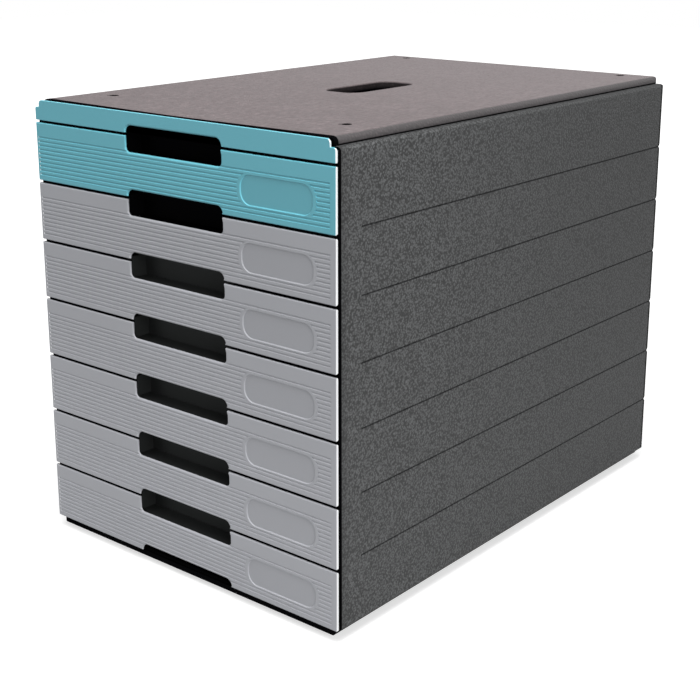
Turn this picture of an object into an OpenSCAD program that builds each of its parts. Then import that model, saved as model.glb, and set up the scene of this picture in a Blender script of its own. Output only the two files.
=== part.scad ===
// Desktop drawer box: a moulded plastic housing with a column of shallow document drawers.
// X runs across the front, -Y faces the user, +Z is up. The origin is on the table, under the
// middle of the box. Drawer 1 is the top one. All lengths are in millimetres.

/* [Overall] */
// Width across the drawer fronts and the side walls
width = 250; // [236:1:330]
// Depth from the drawer fronts to the rear face
depth = 365; // [350:1:440]

/* [Drawers] */
// Number of drawers, one above the other
drawer_count = 7; // [1:1:7]
// Height from one drawer to the next
drawer_pitch = 38.75; // [36:0.25:60]
// How far each drawer slides out
drawer_travel = 265; // [120:1:300]

/* [Drawer fronts] */
// Open gap between one front and the next
front_gap = 1.7; // [0.8:0.1:2]
// Thickness of a front where it meets its tray
front_t = 3.2; // [2.8:0.1:4.5]
// Thickness of a front along its left and right edges
front_edge_t = 1.7; // [1.2:0.1:2.2]
// Open gap behind those edges, in front of the side wall
front_edge_gap = 1.4; // [0.5:0.1:1.5]
// Rounding of a front's upright edges, towards the user
front_round = 1.5; // [0.8:0.1:1.6]
// Rounding of a front's lower corners, seen from the front
front_corner_r = 1.8; // [0.5:0.1:2.5]

/* [Finger notches] */
// Width of the notch between two fronts
notch_w = 80; // [60:1:110]
// How far a notch reaches down below the gap
notch_down = 10.7; // [8:0.1:13]
// How far a notch reaches up above the gap
notch_up = 5.4; // [3:0.1:6.5]
// Rounding of the notch's lower corners
notch_low_r = 2.75; // [1:0.05:4]
// Rounding of the notch's upper corners
notch_high_r = 4.4; // [1:0.1:4.6]
// Thickness of a front along the edge of its notch
notch_edge_t = 1.6; // [1.2:0.1:2.2]
// Width of that thinner edge, seen from behind
notch_edge_w = 2; // [1:0.1:2.2]
// Depth of the finger well in the tray behind a notch
well_depth = 14; // [10:0.5:20]
// Room below the notch's lower edge, inside the well
well_drop = 2.3; // [1:0.1:4]
// Room beside the notch, inside the well
well_side = 5; // [2:0.5:10]

/* [Ribs and label field] */
// Number of fine grooves across a front
groove_count = 10; // [2:1:10]
// Height from one fine groove to the next
groove_pitch = 2.63; // [2:0.01:2.65]
// Height of the lowest fine groove above the gap
groove_low = 4.8; // [3:0.1:5.2]
// Width of a fine groove
groove_w = 1.1; // [0.4:0.1:1.4]
// Depth of a fine groove
groove_d = 0.45; // [0.1:0.05:0.6]
// Margin between the fine grooves and the left edge of a front
groove_margin_left = 2.5; // [1.8:0.1:6]
// Margin between the fine grooves and the right edge of a front
groove_margin_right = 4.5; // [1.8:0.1:6]
// Width of the label field
label_w = 54; // [30:1:60]
// Height of the label field
label_h = 17.4; // [10:0.1:18]
// Depth of the label field
label_d = 0.7; // [0.3:0.1:1]
// Corner rounding of the label field
label_r = 7.5; // [2:0.5:7.5]
// Distance from a front's right edge to the label field
label_margin = 16.5; // [10:0.5:20]
// Height of the label field above the gap
label_low = 8.8; // [8.6:0.1:10]
// Smooth border round the label field
label_border = 2.4; // [0.5:0.1:3]

/* [Trays] */
// Thickness of a tray's walls
tray_wall = 2; // [1.6:0.1:3]
// Thickness of a tray's floor
tray_floor = 1.8; // [1.4:0.1:3]
// Room between a tray and each side wall
tray_side_room = 3.5; // [3:0.1:6]
// Room between the rear of a tray and the rear face of the box
tray_rear_room = 10.5; // [8:0.5:25]
// Rounding of a tray's upright corners
tray_r = 4; // [2.5:0.5:8]

/* [Runners and stops] */
// Height of a runner's top face above the gap
runner_top = 3.7; // [3:0.1:5]
// Thickness of a runner
runner_t = 2; // [1.6:0.1:2.5]
// Width of a runner, inside the side wall
runner_w = 8; // [6.5:0.5:10]
// Distance from the front of the box to the runners
runner_setback = 20.8; // [18:0.1:30]
// Running room above and below a tray
running_gap = 0.3; // [0.2:0.1:0.6]
// How far the stop rib stands in from the side wall
stop_reach = 2.5; // [2.3:0.1:2.7]
// Length of the stop rib and of a stop lug, front to back
stop_len = 2.5; // [2:0.5:5]

/* [Housing] */
// Thickness of the side walls
wall_t = 3; // [2.5:0.1:3.4]
// Width of the flanges that turn in from a side wall
flange_w = 10; // [9.5:0.5:13]
// Thickness of the flange under the cover
flange_t = 2.4; // [2:0.1:3]
// Rounding of the housing's long upper and lower edges
edge_r = 2.5; // [1.5:0.1:2.8]
// Rounding of the housing's rear upright corners
rear_corner_r = 3.5; // [2:0.1:4]
// Height of the groove that marks a runner on the outside, above the gap
side_groove_up = 2.62; // [1.5:0.01:4]
// Width of such a groove
side_groove_w = 1.3; // [0.5:0.1:1.5]
// Depth of such a groove
side_groove_d = 0.5; // [0.2:0.05:0.8]
// Height of the notch that such a groove makes in the rear corner
corner_notch_h = 4; // [1.5:0.1:5]
// Depth of such a notch
corner_notch_d = 1.4; // [0.5:0.1:1.6]

/* [Cover and trim] */
// Height of the fixed strip above the first drawer
trim_h = 13.45; // [13.2:0.05:18]
// Height of the cover's deck above the strip
deck_proud = 0.6; // [0.2:0.1:1]
// Step in from the side of the box to the raised deck
step_w = 4.4; // [4.2:0.1:6]
// Height of that step
step_h = 4.4; // [4:0.1:4.6]
// Step in from the rear face to the raised deck
rear_step_w = 2.5; // [1.5:0.5:10]
// Open gap between the strip and the deck
trim_gap = 2.2; // [1:0.1:3]
// Thickness of the cover
cover_t = 2.8; // [2.4:0.1:3.4]
// Thickness of the cover's hanging walls
skirt_t = 2.4; // [2:0.1:2.8]
// Thickness of the rear panel
panel_t = 2.4; // [2:0.1:2.7]

/* [Carrying slot] */
// Width of the slot across the cover
slot_w = 29; // [24:1:45]
// Length of the slot, front to back
slot_l = 68; // [60:1:120]
// Corner rounding of the slot
slot_r = 10; // [4:0.5:12]
// Depth of the collar round the slot, from the top of the deck
slot_depth = 8; // [5:0.5:9]
// Thickness of that collar
collar_t = 2; // [1.5:0.1:3]

/* [Stacking holes] */
// Distance from the side of the box to the holes
hole_inset = 28; // [22:1:45]
// Distance from the front of the box to the front holes
hole_setback = 42; // [34:1:50]
// Distance from the rear face of the box to the rear holes
hole_rear_setback = 15; // [14:1:60]
// Diameter of a hole
hole_d = 4.4; // [3:0.1:5]
// Diameter of the small vent beside each front hole
vent_d = 1.4; // [1:0.1:1.8]
// Thickness of the boss round a hole
boss_wall = 1.8; // [1.2:0.1:2.5]
// Depth of that boss, from the top of the deck
boss_depth = 4.4; // [3.6:0.1:4.8]

/* [Base and feet] */
// Height of the base below the side walls
base_drop = 4.4; // [4:0.1:7]
// Thickness of the base
base_t = 2.4; // [2:0.1:3]
// Setback of the base from the faces of the drawer fronts
base_setback = 1.5; // [1:0.1:1.8]
// Height of the rib along the front of the base, above the side walls' lower edge
lip_rise = 1.2; // [0.5:0.1:2]
// Height of the feet below the base
foot_h = 2.6; // [1.5:0.1:5]
// Diameter of a foot
foot_d = 14; // [8:0.5:20]
// Depth of the socket that holds a foot
foot_seat = 0.8; // [0.4:0.1:1.2]
// Distance from a foot's middle to the side of the box
foot_inset_x = 25; // [18:1:40]
// Distance from a foot's middle to the front or rear of the box
foot_inset_y = 32; // [20:1:60]

/* [Hidden] */
DRAWERS = [1:drawer_count];
GAPS_BETWEEN = [1:1:drawer_count - 1];   // a gap goes by the number of the drawer above it
$fn = 48;

CHARCOAL = "#4c4d4e";
DECK_GREY = "#5a5857";
TRAY_BLACK = "#2a2b2d";
FRONT_TEAL = "#62a2b0";
FRONT_GREY = "#96979b";
RUBBER = "#1c1c1c";

front_y = -depth / 2;
rear_y = depth / 2;
side_x = width / 2;
fit = 0.1;    // room round a tongue or a snap tab
seam = 0.3;   // room between two pieces that meet edge to edge
past = 1;     // how far a cutting shape runs past the face that it cuts

// Heights of the housing
wall_low = foot_h + base_drop;
stack_top = wall_low + drawer_count * drawer_pitch;
trim_top = stack_top + trim_h;
shoulder_z = trim_top - step_h;
deck_top = trim_top + deck_proud;
deck_under = deck_top - cover_t;

// Places across the width, on the right-hand side
inner_x = side_x - wall_t;
runner_x = inner_x - runner_w;
flange_x = side_x - flange_w;
middle_x = flange_x - seam;           // half the width of what fits between the flanges
deck_x = side_x - step_w;
rebate_x = inner_x - 0.5;             // inner end of a front's thin edge
tray_x = inner_x - tray_side_room;

// Places along the depth
front_back = front_y + front_t;
edge_back = front_y + front_edge_t;
wall_front = edge_back + front_edge_gap;
deck_front = edge_back + trim_gap;
deck_wall_back = deck_front + skirt_t;
deck_rear = rear_y - rear_step_w;
runner_front = front_y + runner_setback;
return_y = rear_y - wall_t;           // inner face of the side walls' rear flanges
panel_front = return_y - panel_t;     // inner face of the rear panel's rim
tray_rear = rear_y - tray_rear_room;
base_front = front_y + base_setback;

// A drawer's heights, from the gap under its front
front_low = front_gap / 2;
front_high = drawer_pitch - front_gap / 2;
tray_low = runner_top + running_gap;
tray_high = drawer_pitch + front_low - 2 * running_gap;   // slides out under the front above
well_floor = drawer_pitch - notch_down - well_drop;
lug_z = (tray_low + tray_high) / 2;
label_x = side_x - label_margin - label_w;

// Snap tabs that hold a front on its tray, and the trim on the cover
tab_w = 8;
tab_t = 2;
tab_hook = 0.9;
tab_x = [for (side = [-1, 1], share = [0.5, 0.84]) side * share * tray_x];
tab_z = tray_low + 10;
trim_tab_z = shoulder_z - 2.1;

// Snap hooks that hold the cover under the side walls' upper flanges
hook_len = 14;
hook_reach = 2;
hook_drop = 2.2;
hook_y = [for (share = [-0.33, 0, 0.33]) share * depth];

// Tongues of the cover and the base, in grooves along the side walls' flanges
tongue_w = 1.4;
tongue_h = 1.2;
tongue_end = 10;   // distance from a tongue's ends to the deck's front and rear edges
tongue_x = deck_x - skirt_t / 2;

// Stacking holes, and the way from a front one to its small vent: left, and towards the user
hole_x = side_x - hole_inset;
hole_front_y = front_y + hole_setback;
vent_offset = [hole_d * 0.65, hole_d * 0.55];

function gap_z(i) = wall_low + (drawer_count - i) * drawer_pitch;

// ---------------------------------------------------------------- shaping helpers

// Block from one corner to the opposite one
module block(lo, hi) {
  translate(lo) cube(hi - lo);
}

// What a quarter-round of radius r leaves over from its square
module corner_waste(r) {
  difference() {
    square(r);
    circle(r);
  }
}

// Flat plate from corner lo to corner hi. Its corners have their own radii, in the order
// low left, low right, high right, high left.
module rounded_plate(lo, hi, r) {
  corners = [lo, [hi[0], lo[1]], hi, [lo[0], hi[1]]];
  turns = [180, 270, 0, 90];
  difference() {
    translate(lo) square(hi - lo);
    for (i = [0:3])
      if (r[i] > 0)
        translate(corners[i]) rotate(turns[i]) translate([-r[i], -r[i]]) corner_waste(r[i]);
  }
}

// Outline in the X-Z plane, made solid from y0 back to y1
module upright(y0, y1) {
  translate([0, y1, 0]) rotate([90, 0, 0]) linear_extrude(y1 - y0) children();
}

// Outline in the Y-Z plane, made solid from x0 to x1
module sideways(x0, x1) {
  translate([x0, 0, 0]) rotate([90, 0, 90]) linear_extrude(x1 - x0) children();
}

// Outline in the X-Y plane, made solid from z0 up to z1
module level(z0, z1) {
  translate([0, 0, z0]) linear_extrude(z1 - z0) children();
}

// Box with its own corner radii in the three views: from the front, the side and above
module soft_box(lo, hi, front_r, side_r, plan_r) {
  intersection() {
    upright(lo[1], hi[1]) rounded_plate([lo[0], lo[2]], [hi[0], hi[2]], front_r);
    sideways(lo[0], hi[0]) rounded_plate([lo[1], lo[2]], [hi[1], hi[2]], side_r);
    level(lo[2], hi[2]) rounded_plate([lo[0], lo[1]], [hi[0], hi[1]], plan_r);
  }
}

module both_sides() {
  children();
  mirror([1, 0, 0]) children();
}

// ---------------------------------------------------------------- drawer fronts and trim

// Cut that thins a front's left and right edges to front_edge_t
module edge_rebate(z0, z1) {
  both_sides()
    block([rebate_x, edge_back, z0 - past], [side_x + past, front_back + past, z1 + past]);
}

// Outline of the finger notch round the gap at height z, grown by a border
module notch_plate(z, border) {
  low_r = notch_low_r + border;
  high_r = notch_high_r + border;
  rounded_plate([-notch_w / 2 - border, z - notch_down - border],
                [notch_w / 2 + border, z + notch_up + border], [low_r, low_r, high_r, high_r]);
}

// Finger notch round the gap at height z, with a front thinned behind its edge
module notch_cut(z) {
  upright(front_y - past, front_back + past) notch_plate(z, 0);
  upright(front_y + notch_edge_t, front_back + past) notch_plate(z, notch_edge_w);
}

// Outline of the label field, grown by a border
module label_plate(border) {
  grow_z = border / 4;
  r = label_r + grow_z;
  rounded_plate([label_x - border, label_low - grow_z],
                [label_x + label_w + border, label_low + label_h + grow_z], [r, r, r, r]);
}

// The fine grooves across a front, which stop at the smooth border of the label field
module fine_grooves() {
  difference() {
    for (i = [0:groove_count - 1]) {
      low = groove_low + i * groove_pitch - groove_w / 2;
      block([-side_x + groove_margin_left, front_y - past, low],
            [side_x - groove_margin_right, front_y + groove_d, low + groove_w]);
    }
    upright(front_y - 2 * past, front_back) label_plate(label_border);
  }
}

// Snap tab on the back of a front, hooked behind a wall that ends at wall_y
module snap_tab(x, z, wall_y) {
  tip = wall_y + 2;
  block([x - tab_w / 2, front_back - fit, z - tab_t / 2], [x + tab_w / 2, tip, z + tab_t / 2]);
  block([x - tab_w / 2, wall_y + fit, z - tab_t / 2], [x + tab_w / 2, tip, z + tab_t / 2 + tab_hook]);
}

// Window for a snap tab, with room below for the tab to bend as it goes in
module tab_window(x, z, wall_y) {
  block([x - tab_w / 2 - fit, front_back - past, z - tab_t / 2 - tab_hook - fit],
        [x + tab_w / 2 + fit, wall_y + past, z + tab_t / 2 + fit]);
}

module drawer_front(i) {
  soft = 0.8;   // rounding of the long edges, towards the user
  high_r = front_corner_r / 2;
  color(i == 1 ? FRONT_TEAL : FRONT_GREY)
    translate([0, 0, gap_z(i)]) {
      difference() {
        soft_box([-side_x, front_y, front_low], [side_x, front_back, front_high],
                 [front_corner_r, front_corner_r, high_r, high_r], [soft, 0, 0, soft],
                 [front_round, front_round, 0, 0]);
        edge_rebate(front_low, front_high);
        notch_cut(0);
        notch_cut(drawer_pitch);
        fine_grooves();
        upright(front_y - past, front_y + label_d) label_plate(0);
      }
      for (x = tab_x)
        snap_tab(x, tab_z, front_back + tray_wall);
    }
}

module top_trim() {
  low = stack_top + front_low;
  low_r = front_corner_r / 2;
  color(FRONT_TEAL) {
    difference() {
      intersection() {
        // The strip is stepped at its upper corners, like the housing behind it
        upright(front_y, front_back) {
          rounded_plate([-side_x, low], [side_x, shoulder_z], [low_r, low_r, edge_r, edge_r]);
          rounded_plate([-deck_x, low + low_r], [deck_x, trim_top], [0, 0, edge_r, edge_r]);
        }
        level(low, trim_top)
          rounded_plate([-side_x, front_y], [side_x, front_back], [front_round, front_round, 0, 0]);
      }
      edge_rebate(low, trim_top);
      block([-side_x, edge_back, shoulder_z], [side_x, front_back + past, trim_top + past]);
      notch_cut(stack_top);
    }
    for (x = tab_x)
      snap_tab(x, trim_tab_z, deck_wall_back);
  }
}

// ---------------------------------------------------------------- trays

// Plan of a tray, shrunk by the thickness of its wall for the inside
module tray_plan(shrink) {
  r = tray_r - shrink;
  rounded_plate([-tray_x + shrink, front_back + shrink], [tray_x - shrink, tray_rear - shrink],
                [r, r, r, r]);
}

// Space of the finger well, grown by a wall
module well_space(wall, z0, z1) {
  half = notch_w / 2 + well_side + wall;
  block([-half, front_back - past, z0], [half, front_back + well_depth + wall, z1]);
}

module drawer_tray(i) {
  lug_y = runner_front + drawer_travel + running_gap;
  lug_half = 4;
  color(TRAY_BLACK)
    translate([0, 0, gap_z(i)]) {
      difference() {
        union() {
          difference() {
            level(tray_low, tray_high) tray_plan(0);
            level(tray_low + tray_floor, tray_high + past) tray_plan(tray_wall);
          }
          intersection() {
            well_space(tray_wall, well_floor - tray_wall, tray_high);
            level(tray_low, tray_high) tray_plan(0);
          }
        }
        well_space(0, well_floor, tray_high + past);
        for (x = tab_x)
          tab_window(x, tab_z, front_back + tray_wall);
      }
      // Lugs that meet the side walls' stop rib when the drawer is fully out
      both_sides()
        block([tray_x - tray_wall / 2, lug_y, lug_z - lug_half],
              [inner_x - 2 * running_gap, lug_y + stop_len, lug_z + lug_half]);
    }
}

// ---------------------------------------------------------------- side walls

// Section of the groove that marks a runner on the outside
module groove_section() {
  half = side_groove_w / 2;
  polygon([[-side_groove_d, 0], [0, half], [past, half], [past, -half], [0, -half]]);
}

// V-shaped notch that the groove makes in the rear corner at height z
module corner_notch(z) {
  reach = rear_corner_r * (sqrt(2) - 1) + corner_notch_d;
  half = corner_notch_h / 2 * (reach + past) / corner_notch_d;
  translate([side_x, rear_y, z]) rotate([0, 0, -45])
    sideways(-reach - past, reach + past)
      polygon([[-reach, 0], [past, half], [past, -half]]);
}

// Tongue of a cover or base, or with room round it the groove for that tongue
module tongue(z0, z1, room) {
  block([tongue_x - tongue_w / 2 - room, deck_front + tongue_end - room, z0],
        [tongue_x + tongue_w / 2 + room, deck_rear - tongue_end + room, z1]);
}

// The right-hand side wall. The left one is its mirror image.
module side_wall() {
  difference() {
    soft_box([flange_x, wall_front, wall_low], [side_x, rear_y, shoulder_z],
             [0, edge_r, edge_r, 0], [0, edge_r, edge_r, 0], [0, 0.6, rear_corner_r, 0]);
    // Inside of the wall, between its flanges
    block([flange_x - past, wall_front - past, wall_low + runner_top],
          [inner_x, return_y, shoulder_z - flange_t]);
    // Room for the full thickness of the fronts
    block([flange_x - past, wall_front - past, wall_low - past],
          [inner_x, front_back + seam, shoulder_z + past]);
    tongue(shoulder_z - tongue_h - fit, shoulder_z + past, fit);
    tongue(wall_low - past, wall_low + tongue_h + fit, fit);
    for (i = GAPS_BETWEEN) {
      z = gap_z(i) + side_groove_up;
      upright(runner_front, rear_y + past) translate([side_x, z]) groove_section();
      sideways(flange_x - past, side_x + past) translate([rear_y, z]) groove_section();
      corner_notch(z);
    }
  }
  // Runners under drawers 1 and down, and above drawer 1 a rail that keeps it level
  for (i = [0:drawer_count - 1]) {
    top = gap_z(i) + runner_top;
    block([runner_x, runner_front, top - runner_t], [inner_x + past, panel_front - fit, top]);
  }
  // Stop rib across the front ends of the runners
  rib_drop = runner_top - runner_t / 2;
  block([inner_x - stop_reach, runner_front - stop_len, gap_z(drawer_count) + rib_drop],
        [inner_x + past, runner_front, gap_z(0) + rib_drop]);
}

module side_wall_right() {
  color(CHARCOAL) side_wall();
}

module side_wall_left() {
  color(CHARCOAL) mirror([1, 0, 0]) side_wall();
}

// ---------------------------------------------------------------- cover

module slot_plan(grow) {
  r = slot_r + grow;
  rounded_plate([-slot_w / 2 - grow, -slot_l / 2 - grow], [slot_w / 2 + grow, slot_l / 2 + grow],
                [r, r, r, r]);
}

// Does something at each of the four stacking holes
module at_holes() {
  for (x = [-hole_x, hole_x], y = [hole_front_y, rear_y - hole_rear_setback])
    translate([x, y, 0]) children();
}

// Small vents beside the two front holes
module vents() {
  for (x = [-hole_x, hole_x])
    translate([x - vent_offset[0], hole_front_y - vent_offset[1], deck_under - past])
      cylinder(h = cover_t + 2 * past, d = vent_d);
}

// Hook that hangs inside the upper flange of the right-hand side wall and catches under it
module cover_hook(y) {
  low = shoulder_z - flange_t - fit - hook_drop;
  block([middle_x - 2, y - hook_len / 2, low], [middle_x, y + hook_len / 2, deck_under + fit]);
  block([middle_x - 2, y - hook_len / 2, low],
        [middle_x + hook_reach, y + hook_len / 2, low + hook_drop]);
}

module top_cover() {
  color(DECK_GREY)
    difference() {
      union() {
        difference() {
          soft_box([-deck_x, deck_front, shoulder_z], [deck_x, deck_rear, deck_top],
                   [0, 0, edge_r, edge_r], [0, 0, edge_r, 1], [0, 0, edge_r, edge_r]);
          block([-deck_x + skirt_t, deck_wall_back, shoulder_z - past],
                [deck_x - skirt_t, deck_rear - skirt_t, deck_under]);
        }
        // Front wall that carries the trim, above the first drawer
        block([-middle_x, front_back, stack_top + tray_low], [middle_x, deck_wall_back, shoulder_z]);
        block([-middle_x, deck_front, shoulder_z - past], [middle_x, deck_wall_back, deck_under]);
        level(deck_top - slot_depth, deck_under + fit) slot_plan(collar_t);
        at_holes()
          translate([0, 0, deck_top - boss_depth])
            cylinder(h = boss_depth - cover_t + fit, d = hole_d + 2 * boss_wall);
        both_sides() {
          tongue(shoulder_z - tongue_h, shoulder_z + fit, 0);
          for (y = hook_y)
            cover_hook(y);
        }
      }
      level(deck_top - slot_depth - past, deck_top + past) slot_plan(0);
      at_holes()
        translate([0, 0, deck_top - boss_depth - past])
          cylinder(h = boss_depth + 2 * past, d = hole_d);
      vents();
      for (x = tab_x)
        tab_window(x, trim_tab_z, deck_wall_back);
    }
}

// ---------------------------------------------------------------- rear panel, base and feet

module rear_panel() {
  rim_low = wall_low + runner_top + fit;
  rim_high = shoulder_z - flange_t - fit;
  rim_x = inner_x - 2 * fit;
  plate_front = rear_y - panel_t;
  color(CHARCOAL) {
    difference() {
      union() {
        // Rim behind the side walls' rear flanges, and the step back out to the plate
        block([-rim_x, panel_front, rim_low], [rim_x, return_y, rim_high]);
        block([-middle_x, panel_front, rim_low], [middle_x, plate_front + fit, rim_high]);
        soft_box([-middle_x, deck_rear - skirt_t - past, wall_low], [middle_x, rear_y, shoulder_z],
                 [0, 0, 0, 0], [0, edge_r, edge_r, 0], [0, 0, 0, 0]);
      }
      block([-middle_x + panel_t, 0, rim_low + panel_t],
            [middle_x - panel_t, plate_front, rim_high - panel_t]);
      block([-middle_x - past, 0, wall_low + flange_t],
            [middle_x + past, panel_front, shoulder_z - flange_t]);
      for (i = GAPS_BETWEEN)
        sideways(-side_x, side_x) translate([rear_y, gap_z(i) + side_groove_up]) groove_section();
    }
    // Ribs that the trays stop against when shut
    for (i = DRAWERS)
      block([-tray_x / 2, tray_rear + running_gap, gap_z(i) + lug_z - 1],
            [tray_x / 2, plate_front + fit, gap_z(i) + lug_z + 1]);
  }
}

module base_plate() {
  floor_z = foot_h + base_t;
  color(TRAY_BLACK) {
    difference() {
      soft_box([-deck_x, base_front, foot_h], [deck_x, deck_rear, wall_low],
               [edge_r, edge_r, 0, 0], [edge_r, edge_r, 0, 0], [edge_r, edge_r, edge_r, edge_r]);
      block([-deck_x + skirt_t, base_front + skirt_t, floor_z],
            [deck_x - skirt_t, deck_rear - skirt_t, wall_low + past]);
      at_feet() cylinder(h = foot_h + foot_seat, d = foot_d + 2 * fit);
    }
    // Rib behind the lowest front
    block([-middle_x, front_back + seam, floor_z - fit],
          [middle_x, front_back + seam + 2, wall_low + lip_rise]);
    both_sides() tongue(wall_low - fit, wall_low + tongue_h, 0);
  }
}

module at_foot(x, y) {
  translate([x * (side_x - foot_inset_x), y * (depth / 2 - foot_inset_y), 0]) children();
}

module at_feet() {
  for (x = [-1, 1], y = [-1, 1])
    at_foot(x, y) children();
}

module foot() {
  round_r = 0.8;
  color(RUBBER) rotate_extrude() {
    rounded_plate([0, 0], [foot_d / 2, foot_h + foot_seat], [0, round_r, 0, 0]);
  }
}

side_wall_left();
side_wall_right();
top_cover();
top_trim();
base_plate();
rear_panel();
at_foot(-1, -1) foot();  // foot_front_left
at_foot(1, -1) foot();  // foot_front_right
at_foot(-1, 1) foot();  // foot_rear_left
at_foot(1, 1) foot();  // foot_rear_right
for (i = DRAWERS) {
  drawer_tray(i);
  drawer_front(i);
}
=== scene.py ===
# %% [markdown]
# # A desktop drawer box in cells
# The object is a moulded plastic box with seven shallow drawers for papers: charcoal sides, a cover
# with a carrying slot whose deck is painted a lighter grey for the light it catches, a teal strip and
# teal top drawer, and six grey drawers under them.
# The imported CAD model fixes every size and place, and it is loaded first. Each later step dresses
# one kind of piece: it says what the piece is, models it, and gives it its finish.

# %% Load the imported model
import math

import bpy
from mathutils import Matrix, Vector


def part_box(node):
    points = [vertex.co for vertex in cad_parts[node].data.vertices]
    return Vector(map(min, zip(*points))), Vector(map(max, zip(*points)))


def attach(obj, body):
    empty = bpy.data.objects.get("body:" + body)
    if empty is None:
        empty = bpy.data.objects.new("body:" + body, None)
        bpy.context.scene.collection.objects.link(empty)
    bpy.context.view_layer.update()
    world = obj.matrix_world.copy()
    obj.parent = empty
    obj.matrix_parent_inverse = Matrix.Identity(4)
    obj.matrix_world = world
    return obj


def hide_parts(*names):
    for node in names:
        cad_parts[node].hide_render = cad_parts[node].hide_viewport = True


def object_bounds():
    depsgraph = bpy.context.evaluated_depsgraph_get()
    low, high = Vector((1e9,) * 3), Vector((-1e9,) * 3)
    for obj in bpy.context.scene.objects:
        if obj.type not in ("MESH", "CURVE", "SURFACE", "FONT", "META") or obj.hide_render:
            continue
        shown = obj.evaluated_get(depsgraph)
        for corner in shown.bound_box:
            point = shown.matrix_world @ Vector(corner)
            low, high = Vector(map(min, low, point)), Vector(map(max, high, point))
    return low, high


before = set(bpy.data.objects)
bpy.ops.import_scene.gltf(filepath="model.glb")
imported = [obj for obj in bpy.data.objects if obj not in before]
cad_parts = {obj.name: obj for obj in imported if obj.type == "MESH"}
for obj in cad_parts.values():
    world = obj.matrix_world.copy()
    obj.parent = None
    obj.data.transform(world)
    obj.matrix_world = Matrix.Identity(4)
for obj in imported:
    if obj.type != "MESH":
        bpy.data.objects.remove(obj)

MM = 0.001
DRAWERS = range(1, 8)
X, Y, Z = 0, 1, 2

cad_low, cad_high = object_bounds()
print("CAD box, mm:", [round(side / MM, 1) for side in cad_high - cad_low])

# %% [markdown]
# ## Camera
# The box is seen from the front right and a little above. A camera needs a place, a direction and
# a lens. The direction is written as two angles, because they are easier to read than a rotation:
# how far round the box the camera stands, and how far it looks down. A small vertical shift moves
# the box down in the picture without turning the camera, so its upright edges stay nearly parallel.

# %% Camera
CAMERA_PLACE = Vector((574.9, -713.5, 403.6)) * MM
CAMERA_ROUND = math.radians(39.692)
CAMERA_DOWN = math.radians(15.038)
CAMERA_LENS = 69.75
CAMERA_SHIFT = -0.1

camera = bpy.data.objects.new("camera", bpy.data.cameras.new("camera"))
bpy.context.scene.collection.objects.link(camera)
bpy.context.scene.camera = camera
camera.location = CAMERA_PLACE
camera.rotation_euler = (math.pi / 2 - CAMERA_DOWN, 0, CAMERA_ROUND)
camera.data.lens = CAMERA_LENS
camera.data.shift_y = CAMERA_SHIFT
camera.data.clip_start = 0.05
print("camera is", round((CAMERA_PLACE - (cad_low + cad_high) / 2).length, 3), "m from the box")

# %% [markdown]
# ## Shader maths
# Each finish mixes masks and noises with a little maths. Written node by node, that takes a page.
# A small class that wraps one socket lets the maths be written as Python: an expression on wires
# adds its Math nodes, and one method adds any other node.

# %% Class for shader maths
class Wire:
    """One output socket of a material, used like a number in an expression."""

    def __init__(self, tree, socket):
        self.tree = tree
        self.socket = socket

    def node(self, kind, settings, sockets, output=0):
        """Adds a node. Its settings are set first, then the values or links of its sockets."""
        made = self.tree.nodes.new(kind)
        for name, value in settings.items():
            setattr(made, name, value)
        for name, value in sockets.items():
            self.feed(made.inputs[name], value)
        return Wire(self.tree, made.outputs[output])

    def feed(self, socket, value):
        """Gives a socket a value, or links a wire to it."""
        if isinstance(value, Wire):
            self.tree.links.new(value.socket, socket)
        else:
            socket.default_value = value

    def math(self, operation, *values):
        """Adds a Math node that works on these values."""
        return self.node("ShaderNodeMath", {"operation": operation}, dict(enumerate(values)))

    def size(self):
        """The number without its sign."""
        return self.math("ABSOLUTE", self)

    def either(self, other):
        """The greater of two masks."""
        return self.math("MAXIMUM", self, other)

    def __add__(self, other):
        return self.math("ADD", self, other)

    def __sub__(self, other):
        return self.math("SUBTRACT", self, other)

    def __rsub__(self, other):
        return self.math("SUBTRACT", other, self)

    def __mul__(self, other):
        return self.math("MULTIPLY", self, other)

    def __truediv__(self, other):
        return self.math("DIVIDE", self, other)

    __radd__ = __add__
    __rmul__ = __mul__


print("shader maths ready")

# %% [markdown]
# ## Parts of a plastic finish
# Injection-moulded plastic shows three things up close. Its colour drifts a little with the flow of
# the melt. Its surface carries the grain that was etched into the mould. And it is a bit glossier
# where hands rub it. All are noises on Object coordinates, which lie still when the view changes.

# %% Helpers for plastic
SHADE = (0.003, 0.003, 0.0035, 1)


def start_finish(name):
    """Starts a material. Returns it with its shader node and a wire of Object coordinates."""
    material = bpy.data.materials.new(name)
    material.use_nodes = True
    tree = material.node_tree
    place = Wire(tree, tree.nodes.new("ShaderNodeTexCoord").outputs["Object"])
    return material, tree.nodes["Principled BSDF"], place


def noise(place, size_mm, detail, roughness=0.5):
    """Soft noise from 0 to 1, whose lumps are about size_mm across."""
    settings = {"noise_dimensions": "3D"}
    sockets = {"Vector": place, "Scale": 1 / (size_mm * MM), "Detail": detail, "Roughness": roughness}
    return place.node("ShaderNodeTexNoise", settings, sockets)


def along_axes(place):
    """The X, Y and Z of a place or a direction, as three wires."""
    apart = place.node("ShaderNodeSeparateXYZ", {}, {0: place}).socket.node
    return [Wire(place.tree, socket) for socket in apart.outputs]


def facing(place):
    """The X, Y and Z of the surface's direction in Object coordinates, as three wires."""
    coordinates = place.socket.node
    return along_axes(Wire(place.tree, coordinates.outputs["Normal"]))


def step_between(value, low, high):
    """0 below low, 1 above high and a smooth rise between them."""
    sockets = {"Value": value, "From Min": low, "From Max": high}
    return value.node("ShaderNodeMapRange", {"interpolation_type": "SMOOTHSTEP"}, sockets)


def mm_from(start, *distances):
    """Places at some distances from a start. The distances are in millimetres."""
    return [start + distance * MM for distance in distances]


def band(value, rise, fall):
    """1 between two limits of a value. Rise and fall each say where a limit starts and ends."""
    return step_between(value, *rise) * (1 - step_between(value, *fall))


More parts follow.
